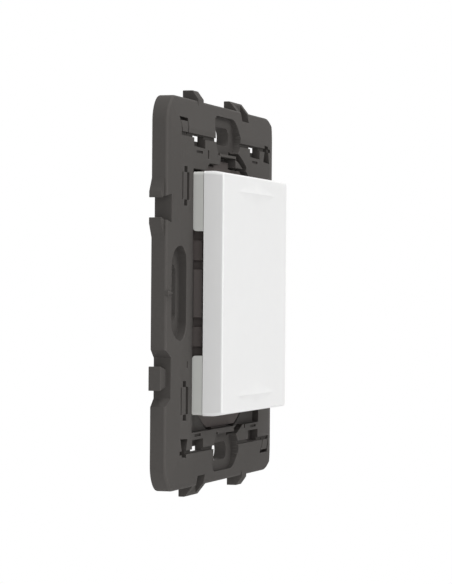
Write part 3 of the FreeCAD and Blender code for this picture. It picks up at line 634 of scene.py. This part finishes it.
@dataclass
class SoftMoulding:
    """A moulding copied from its solid, with its sharp edges rounded as a mould leaves them.

    Attributes:
        node: Name of the solid.
        name: Name of the new piece.
        body: Body that carries it.
        slot: The record's material slot; not used.
        finish: Its finish.
        edge_radius: Radius of the rounds.
        segments: Faces across one round.
        sharp_deg: Edges that turn by more than this are rounded.
        flat_deg: Faces that turn by less than this are joined first.
        crisp_deg: Edges of a round that turn by more than this look crisp.
        crest_deg: The same for all other edges.
        room: Radii that a round needs up to the next edge or corner.
        strip_width: Faces narrower than this count as rounds.
        shelter_reach: Farthest distance of a wall that shelters a face.
        shelter_rays: Directions that are tried from each face.
        shelter_lift: Height above the face at which they start.
        webs: Plates that the solid lacks.
    """

    node: str
    name: str
    body: str
    slot: str
    finish: Finish
    edge_radius: float = 0.12 * MM
    segments: int = 2
    sharp_deg: float = 35.0
    flat_deg: float = 0.6
    crisp_deg: float = 50.0
    crest_deg: float = 50.0
    room: float = 3.0
    strip_width: float = 0.2 * MM
    shelter_reach: float = 5.0 * MM
    shelter_rays: int = 40
    shelter_lift: float = 0.03 * MM
    webs: tuple[Web, ...] = ()

    def build(self, nodes: dict[str, bpy.types.Object]) -> bpy.types.Object:
        """Builds and dresses the moulding in place of its solid.

        Args:
            nodes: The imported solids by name.

        Returns:
            The new piece.
        """
        shape = bmesh.new()
        shape.from_mesh(nodes[self.node].data)
        bmesh.ops.remove_doubles(shape, verts=shape.verts, dist=WELD)
        bmesh.ops.dissolve_limit(shape, angle_limit=math.radians(self.flat_deg), verts=shape.verts,
                                 edges=shape.edges)
        self._round(shape)
        self._compact(shape)
        for web in self.webs:
            web.add(shape)
        self._shelter(shape)
        piece = new_piece(self.name, shape)
        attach(piece, self.body)
        piece.modifiers.new("even_normals", "WEIGHTED_NORMAL").keep_sharp = True
        dress(piece, self.finish)
        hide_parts(self.node)
        return piece

    def _round(self, shape: bmesh.types.BMesh) -> None:
        """Rounds the sharp edges that have room for it and marks the narrow faces of all rounds.

        Args:
            shape: Copy of the solid, changed in place.
        """
        mark = shape.faces.layers.float.new(EDGE_MARK)
        limit = math.radians(self.sharp_deg)
        sharp = [edge for edge in shape.edges if edge.is_manifold and edge.calc_face_angle(0.0) > limit]
        tight = self._tight(shape)
        roomy = [edge for edge in sharp if edge not in tight and self._roomy(edge)]
        bmesh.ops.bevel(shape, geom=roomy, offset=self.edge_radius, offset_type="OFFSET", affect="EDGES",
                        segments=self.segments, profile=0.5, material=-1, clamp_overlap=False)
        bmesh.ops.dissolve_degenerate(shape, dist=WELD, edges=shape.edges)
        for face in shape.faces:
            face.smooth = True
            if face.calc_area() < self.strip_width * max(edge.calc_length() for edge in face.edges):
                face[mark] = 1.0
        for edge in shape.edges:
            rounded = any(face[mark] for face in edge.link_faces)
            crisp = self.crisp_deg if rounded else self.crest_deg
            edge.smooth = edge.calc_face_angle(0.0) < math.radians(crisp)

    @staticmethod
    def _compact(shape: bmesh.types.BMesh) -> None:
        """Packs the mesh anew, so that later faces come last and the order is the same in each run.

        Args:
            shape: Rounded copy of the solid, changed in place.
        """
        packed = bpy.data.meshes.new("packed")
        shape.to_mesh(packed)
        shape.clear()
        shape.from_mesh(packed)
        bpy.data.meshes.remove(packed)

    def _roomy(self, edge: bmesh.types.BMEdge) -> bool:
        """Whether an edge and the edges that meet it are long enough for the round."""
        near = {other for vert in edge.verts for other in vert.link_edges}
        return min(other.calc_length() for other in near) > self.room * self.edge_radius

    def _tight(self, shape: bmesh.types.BMesh) -> set[bmesh.types.BMEdge]:
        """Edges too close to another edge or corner of the same face for the round.

        Args:
            shape: Copy of the solid.

        Returns:
            Those edges.
        """
        limit = self.room * self.edge_radius
        tight = set()
        for face in shape.faces:
            edges = list(face.edges)
            for vert in face.verts:
                for edge in edges:
                    if vert in edge.verts:
                        continue
                    first, second = (end.co for end in edge.verts)
                    near, share = geometry.intersect_point_line(vert.co, first, second)
                    if 0.0 <= share <= 1.0 and (near - vert.co).length < limit:
                        tight.add(edge)
                        tight.update(vert.link_edges)
        return tight

    def _shelter(self, shape: bmesh.types.BMesh) -> None:
        """Marks each face with the share of its view that near walls take, the mask of painted shade.

        Args:
            shape: Rounded copy of the solid.
        """
        mark = shape.faces.layers.float.new(PAINTED_SHADE_MASK)
        shape.normal_update()
        tree = BVHTree.FromBMesh(shape)
        middles = self._middles(shape)
        rays = self._rays()
        for face in shape.faces:
            spin = face.normal.to_track_quat("Z", "Y")
            start = middles[face.index] + face.normal * self.shelter_lift
            taken = 0.0
            for ray in rays:
                gap = tree.ray_cast(start, spin @ ray, self.shelter_reach)[3]
                taken += 0.0 if gap is None else 1.0 - gap / self.shelter_reach
            face[mark] = taken / len(rays)

    @staticmethod
    def _middles(shape: bmesh.types.BMesh) -> dict[int, Vector]:
        """A point well inside each face: the middle of its largest triangle.

        Args:
            shape: Rounded copy of the solid.

        Returns:
            The points by the faces' numbers.
        """
        areas: dict[int, float] = {}
        middles: dict[int, Vector] = {}
        for loops in shape.calc_loop_triangles():
            first, second, third = (loop.vert.co for loop in loops)
            area = (second - first).cross(third - first).length
            number = loops[0].face.index
            if area >= areas.get(number, 0.0):
                areas[number] = area
                middles[number] = (first + second + third) / 3.0
        return middles

    def _rays(self) -> list[Vector]:
        """Directions of the half sphere about +Z, denser near its top.

        Returns:
            The directions, each with the length one.
        """
        golden = math.pi * (3.0 - math.sqrt(5.0))
        rays = []
        for number in range(self.shelter_rays):
            share = (number + 0.5) / self.shelter_rays
            flat = math.sqrt(share)
            rays.append(Vector((flat * math.cos(golden * number), flat * math.sin(golden * number),
                                math.sqrt(1.0 - share))))
        return rays


@dataclass
class CoverScrews:
    """The rear cover's screws: rounded heads with a cross recess."""

    node: str = "cover_screws"
    body: str = "frame_and_module"
    slot: str = "steel"
    rim_parts: int = 32
    recess_reach: float = 0.85 * MM
    recess_width: float = 0.34 * MM
    recess_depth: float = 0.45 * MM
    head_radius: float = 1.4 * MM
    head_height: float = 0.58 * MM
    shank_radius: float = 0.7 * MM

    def build(self) -> bpy.types.Object:
        """Builds all screws as one piece in place of their solids.

        Returns:
            The new piece.
        """
        low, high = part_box(self.node)
        shape = bmesh.new()
        inset = Vector((self.head_radius, 0.0, self.head_radius))
        for spot in (low + inset, high - inset):
            self._screw(shape, Vector((spot.x, high.y, spot.z)), high.y - low.y)
        bmesh.ops.recalc_face_normals(shape, faces=shape.faces)
        piece = new_piece("screw_set", shape)
        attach(piece, self.body)
        dress(piece, SCREW_STEEL)
        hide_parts(self.node)
        return piece

    def _screw(self, shape: bmesh.types.BMesh, head: Vector, length: float) -> None:
        """Adds one screw, whose head looks along +Y.

        Args:
            shape: Mesh that gets the screw.
            head: Middle of the head's outer face.
            length: Whole length of the screw.
        """
        turn = Matrix.Translation(head) @ Matrix.Rotation(math.radians(-90.0), 4, "X")
        rim = bmesh.ops.create_circle(shape, cap_ends=False, radius=self.head_radius, segments=self.rim_parts,
                                      matrix=turn)["verts"]
        cross = self._cross(shape, turn)
        edges = list(dict.fromkeys(edge for vert in rim + cross for edge in vert.link_edges))
        bmesh.ops.triangle_fill(shape, use_beauty=True, use_dissolve=False, edges=edges)
        self._pull(shape, cross, self.recess_depth, close=True)
        side = self._pull(shape, rim, self.head_height, close=False)
        neck = self._pull(shape, side, 0.0, close=False)
        centre = head + Vector((0.0, -self.head_height, 0.0))
        share = self.shank_radius / self.head_radius
        for vert in neck:
            vert.co = centre + (vert.co - centre) * share
        self._pull(shape, neck, length - self.head_height, close=True)

    def _cross(self, shape: bmesh.types.BMesh, turn: Matrix) -> list[bmesh.types.BMVert]:
        """Adds the recess's outline.

        Args:
            shape: Mesh that gets the outline.
            turn: Place of the head.

        Returns:
            The outline's corners in order.
        """
        half = self.recess_width / 2
        corners = []
        for quarter in range(4):
            spin = Matrix.Rotation(math.radians(90.0 * quarter), 4, "Z")
            for x, y in ((half, half), (half, self.recess_reach), (-half, self.recess_reach)):
                corners.append(shape.verts.new(turn @ spin @ Vector((x, y, 0.0))))
        for first, second in zip(corners, corners[1:] + corners[:1]):
            shape.edges.new((first, second))
        return corners

    def _pull(self, shape: bmesh.types.BMesh, ring: list[bmesh.types.BMVert], depth: float,
              close: bool) -> list[bmesh.types.BMVert]:
        """Extrudes a ring of vertices along -Y.

        Args:
            shape: Mesh that holds the ring.
            ring: Vertices of the ring in order.
            depth: Length of the new wall.
            close: Whether the far end gets a face.

        Returns:
            The far ring in the same order.
        """
        far = [shape.verts.new(vert.co - Vector((0.0, depth, 0.0))) for vert in ring]
        for number in range(len(ring)):
            shape.faces.new((ring[number - 1], ring[number], far[number], far[number - 1]))
        if close:
            shape.faces.new(far)
        return far


@dataclass
class LeafSpring:
    """The return spring in two halves, each a wing cut across at stations from its stake to its tip."""

    node: str = "return_spring"
    still_body: str = "frame_and_module"
    tip_body: str = "rocker"
    slot: str = "steel"
    staked: float = 4.0 * MM
    reach: float = 15.0 * MM
    stations: int = 8

    def build(self, nodes: dict[str, bpy.types.Object]) -> list[bpy.types.Object]:
        """Builds and dresses both halves in place of the solid.

        Args:
            nodes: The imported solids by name.

        Returns:
            The upper and the lower half.
        """
        return [self._half(nodes[self.node], "upper_spring_wing", 1.0),
                self._half(nodes[self.node], "lower_spring_wing", -1.0)]

    def _half(self, solid: bpy.types.Object, name: str, side: float) -> bpy.types.Object:
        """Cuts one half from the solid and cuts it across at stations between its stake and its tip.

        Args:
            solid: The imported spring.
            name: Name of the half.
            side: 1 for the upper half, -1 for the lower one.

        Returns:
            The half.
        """
        shape = bmesh.new()
        shape.from_mesh(solid.data)
        bmesh.ops.remove_doubles(shape, verts=shape.verts, dist=WELD)
        away = Vector((0.0, 0.0, side))
        cut = self._cut(shape, Vector(), away, True)
        bmesh.ops.holes_fill(shape, edges=cut)
        for number in range(1, self.stations):
            share = number / self.stations
            self._cut(shape, away * (self.staked + (self.reach - self.staked) * share), away, False)
        piece = new_piece(name, shape)
        dress(piece, SPRING_STEEL)
        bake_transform(piece)
        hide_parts(self.node)
        return piece

    @staticmethod
    def _cut(shape: bmesh.types.BMesh, point: Vector, away: Vector, halve: bool) -> list[bmesh.types.BMEdge]:
        """Cuts the shape along a plane.

        Args:
            shape: Copy of the spring, changed in place.
            point: A point of the plane.
            away: The plane's direction.
            halve: Whether the part behind the plane goes.

        Returns:
            The edges on the plane.
        """
        parts = [*shape.verts, *shape.edges, *shape.faces]
        made = bmesh.ops.bisect_plane(shape, geom=parts, plane_co=point, plane_no=away, clear_inner=halve)
        return [part for part in made["geom_cut"] if isinstance(part, bmesh.types.BMEdge)]


@dataclass
class InnerParts:
    """The sealed generator and board, which keep their solids and get their finishes."""

    finishes: dict[str, Finish] = field(default_factory=lambda: {
        "circuit_board": SolderMask(), "radio_module": TINNED_SHIELD,
        "storage_capacitor": CAN_ALUMINIUM, "antenna_strip": STRIP_BRASS, "rectifier_bridge": CHIP_PLASTIC,
        "voltage_converter": CHIP_PLASTIC, "timing_crystal": TINNED_SHIELD, "chip_components": CHIP_PLASTIC,
        "core_yoke": CORE_IRON, "coil_bobbin": LEVER_PLASTIC, "coil_winding": EnamelledWire(),
        "coil_terminals": STRIP_BRASS, "armature_lever": LEVER_PLASTIC, "magnet_block": MAGNET_PLATING,
        "pole_plate_front": CORE_IRON, "pole_plate_rear": CORE_IRON,
    })

    def build(self, nodes: dict[str, bpy.types.Object]) -> list[str]:
        """Dresses the inner solids.

        Args:
            nodes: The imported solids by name.

        Returns:
            The names of the dressed solids.
        """
        for name, finish in self.finishes.items():
            dress(nodes[name], finish)
        return sorted(self.finishes)


@dataclass(frozen=True)
class Lamp:
    """One soft rectangular lamp that looks at the object."""

    name: str
    place: Sequence[float]
    width: float
    height: float
    watts: float


@dataclass
class Studio:
    """White studio: pale floor, soft lamps, white surroundings and the photograph's camera.

    Attributes:
        aim: Point that the camera and the lamps look at.
        azimuth: Camera's angle round the object, in degrees from the front.
        elevation: Camera's angle above the level, in degrees.
        roll: Camera's lean, in degrees.
        distance: Camera's distance from the aim.
        slide_right: Camera's shift to its right.
        slide_up: Camera's shift to its top.
        focal_pixels: Focal length in the photograph's pixels.
        sensor_mm: Width of the sensor.
        clip: Nearest and farthest distance that the camera shows.
        floor_drop: Depth of the floor below the object's middle.
        floor_radius: Radius of the floor.
        floor_parts: Sides of the floor's rim.
        floor_color: Colour of the floor.
        floor_roughness: Roughness of the floor.
        fade: Shares of the floor's radius between which it turns white.
        ambient: Strength of the light from all round.
        lamps: The lamps.
    """

    aim: Sequence[float] = (0.0, -4.6 * MM, 0.0)
    azimuth: float = -73.83
    elevation: float = -0.08
    roll: float = 0.43
    distance: float = 494.2 * MM
    slide_right: float = -0.92 * MM
    slide_up: float = 0.34 * MM
    focal_pixels: float = 2575.0
    sensor_mm: float = 36.0
    clip: Flat = (10.0 * MM, 100.0)
    floor_drop: float = 120.0 * MM
    floor_radius: float = 450.0 * MM
    floor_parts: int = 96
    floor_color: Color = (0.82, 0.82, 0.82)
    floor_roughness: float = 0.7
    fade: Flat = (0.35, 0.97)
    ambient: float = 0.36
    lamps: Sequence[Lamp] = (
        Lamp("front_lamp", (0.1, -0.8, 0.62), 0.5, 0.5, 2.7),
        Lamp("left_lamp", (-0.88, -0.42, 0.15), 0.6, 0.8, 2.85),
        Lamp("top_lamp", (-0.1, -0.25, 0.9), 0.4, 0.3, 3.7),
        Lamp("right_lamp", (0.85, 0.45, 0.3), 0.5, 0.5, 2.4),
        Lamp("back_lamp", (0.3, 0.95, 0.3), 0.6, 0.6, 3.4),
    )

    def build(self) -> None:
        """Builds the floor, the surroundings, the lamps and the camera."""
        self._floor()
        self._surroundings()
        for lamp in self.lamps:
            self._lamp(lamp)
        self._camera()
        bpy.context.scene.view_settings.view_transform = "Standard"

    def _floor(self) -> None:
        """Adds a round floor below the object that fades into the white surroundings."""
        shape = bmesh.new()
        bmesh.ops.create_circle(shape, cap_ends=True, radius=self.floor_radius, segments=self.floor_parts,
                                matrix=Matrix.Translation((0.0, 0.0, -self.floor_drop)))
        mesh = bpy.data.meshes.new("floor")
        shape.to_mesh(mesh)
        shape.free()
        floor = bpy.data.objects.new("floor", mesh)
        bpy.context.scene.collection.objects.link(floor)
        white = bpy.data.materials.new("floor_white")
        self._fade(Graph.of(white))
        mesh.materials.append(white)

    def _fade(self, graph: Graph) -> None:
        """Builds the floor's look, which turns into plain white towards its rim.

        Args:
            graph: Empty tree of the floor's material.
        """
        place = graph.node("TexCoord").outputs["Object"]
        reach = graph.value(graph.node("VectorMath", {"operation": "LENGTH"}, {0: place}).outputs["Value"])
        start, end = (share * self.floor_radius for share in self.fade)
        fade = graph.node("MapRange", {"interpolation_type": "SMOOTHSTEP"},
                          {"Value": reach, "From Min": start, "From Max": end}).outputs["Result"]
        share = graph.value(fade) * self._seen(graph)
        pale = graph.node("BsdfPrincipled", inputs={"Base Color": (*self.floor_color, 1.0),
                                                    "Roughness": self.floor_roughness})
        glow = graph.node("Emission", inputs={"Color": WHITE, "Strength": 1.0})
        mixed = graph.node("MixShader", inputs={0: share, 1: pale.outputs[0], 2: glow.outputs[0]})
        graph.node("OutputMaterial", inputs={"Surface": mixed.outputs[0]})

    @staticmethod
    def _seen(graph: Graph) -> Value:
        """One for rays from the camera, mirrors and glass.

        Args:
            graph: Tree that gets the nodes.

        Returns:
            The share of such rays.
        """
        path = graph.node("LightPath")
        direct, mirrored, clear = (graph.value(path.outputs[f"Is {kind} Ray"])
                                   for kind in ("Camera", "Glossy", "Transmission"))
        return direct.largest(mirrored.largest(clear))

    def _surroundings(self) -> None:
        """Makes the world white to the camera and to mirrors, and a plain soft light to the object."""
        world = bpy.data.worlds.new("studio_world")
        bpy.context.scene.world = world
        world.use_nodes = True
        graph = Graph(world.node_tree)
        strength = self.ambient + self._seen(graph) * (1.0 - self.ambient)
        background = graph.node("Background", inputs={"Color": WHITE, "Strength": strength})
        graph.node("OutputWorld", inputs={"Surface": background.outputs[0]})

    def _lamp(self, lamp: Lamp) -> None:
        """Adds one lamp.

        Args:
            lamp: Its place, size and power.
        """
        light = bpy.data.lights.new(lamp.name, "AREA")
        light.shape = "RECTANGLE"
        light.size = lamp.width
        light.size_y = lamp.height
        light.energy = lamp.watts
        made = bpy.data.objects.new(lamp.name, light)
        place = Vector(lamp.place)
        made.location = place
        made.rotation_euler = (Vector(self.aim) - place).to_track_quat("-Z", "Y").to_euler()
        bpy.context.scene.collection.objects.link(made)

    def _camera(self) -> None:
        """Adds the camera at the photograph's viewing angle."""
        turn = math.radians(self.azimuth)
        tilt = math.radians(self.elevation)
        back = Vector((math.sin(turn) * math.cos(tilt), -math.cos(turn) * math.cos(tilt), math.sin(tilt)))
        level = Vector((math.cos(turn), math.sin(turn), 0.0))
        upright = back.cross(level)
        lean = math.radians(self.roll)
        right = level * math.cos(lean) + upright * math.sin(lean)
        above = upright * math.cos(lean) - level * math.sin(lean)
        lens = bpy.data.cameras.new("photo_camera")
        lens.sensor_width = self.sensor_mm
        lens.lens = self.focal_pixels / max(PHOTO_SIZE) * self.sensor_mm
        lens.clip_start, lens.clip_end = self.clip
        camera = bpy.data.objects.new("photo_camera", lens)
        matrix = Matrix((right, above, back)).transposed().to_4x4()
        slide = right * self.slide_right + above * self.slide_up
        matrix.translation = Vector(self.aim) + slide + back * self.distance
        camera.matrix_world = matrix
        bpy.context.scene.collection.objects.link(camera)
        bpy.context.scene.camera = camera


# Plates of the frame, all lapping its walls: the end of the upper arc slit, four catches behind the clip holes,
# and the floors of the opening's lower corners, whose arc is clear of the module's round flange.
SLIT_DEPTHS = (1.62, 3.88)
CATCH_DEPTHS = (1.7, 2.35)
FLOOR_DEPTHS = (1.5, 2.7)
FLOOR_ARC = 27.3
FRAME_WEBS = (
    Web.block((5.301, 25.9), (5.55, 26.15), *SLIT_DEPTHS),
    Web.block((-17.6, 26.4), (-14.9, 28.25), *CATCH_DEPTHS),
    Web.block((20.4, 26.4), (23.1, 28.25), *CATCH_DEPTHS),
    Web.block((-17.6, -28.4), (-14.9, -26.4), *CATCH_DEPTHS),
    Web.block((20.4, -29.8), (23.1, -26.4), *CATCH_DEPTHS),
    Web.corner((-23.1, -25.8), FLOOR_ARC, *FLOOR_DEPTHS),
    Web.corner((23.1, -25.8), FLOOR_ARC, *FLOOR_DEPTHS),
)
MOULDINGS = (
    SoftMoulding("support_frame", "frame_moulding", "frame_and_module", "frame_plastic", FRAME_PLASTIC,
                 webs=FRAME_WEBS),
    SoftMoulding("mechanism_base", "housing_moulding", "frame_and_module", "housing_plastic", LIGHTENED_HOUSING_PLASTIC),
    SoftMoulding("rear_cover", "cover_moulding", "frame_and_module", "housing_plastic", COVER_PLASTIC),
    SoftMoulding("rocker_cap", "rocker_shell", "rocker", "white_plastic", WHITE_PLASTIC, crest_deg=20.0),
    SoftMoulding("rocker_carrier", "rocker_legs", "rocker", "white_plastic", SHADED_CARRIER_PLASTIC),
)


def main() -> None:
    """Builds the pieces in order and reports each one."""
    logging.basicConfig(level=logging.INFO, format="%(name)s: %(message)s")
    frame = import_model()
    nodes = frame["nodes"]
    pieces = [moulding.build(nodes) for moulding in MOULDINGS]
    pieces.append(CoverScrews().build())
    pieces.extend(LeafSpring().build(nodes))
    for piece in pieces:
        LOG.info("%s: %d faces", piece.name, len(piece.data.polygons))
    for name in InnerParts().build(nodes):
        LOG.info("%s dressed", name)
    Studio().build()


if __name__ == "__main__":
    main()
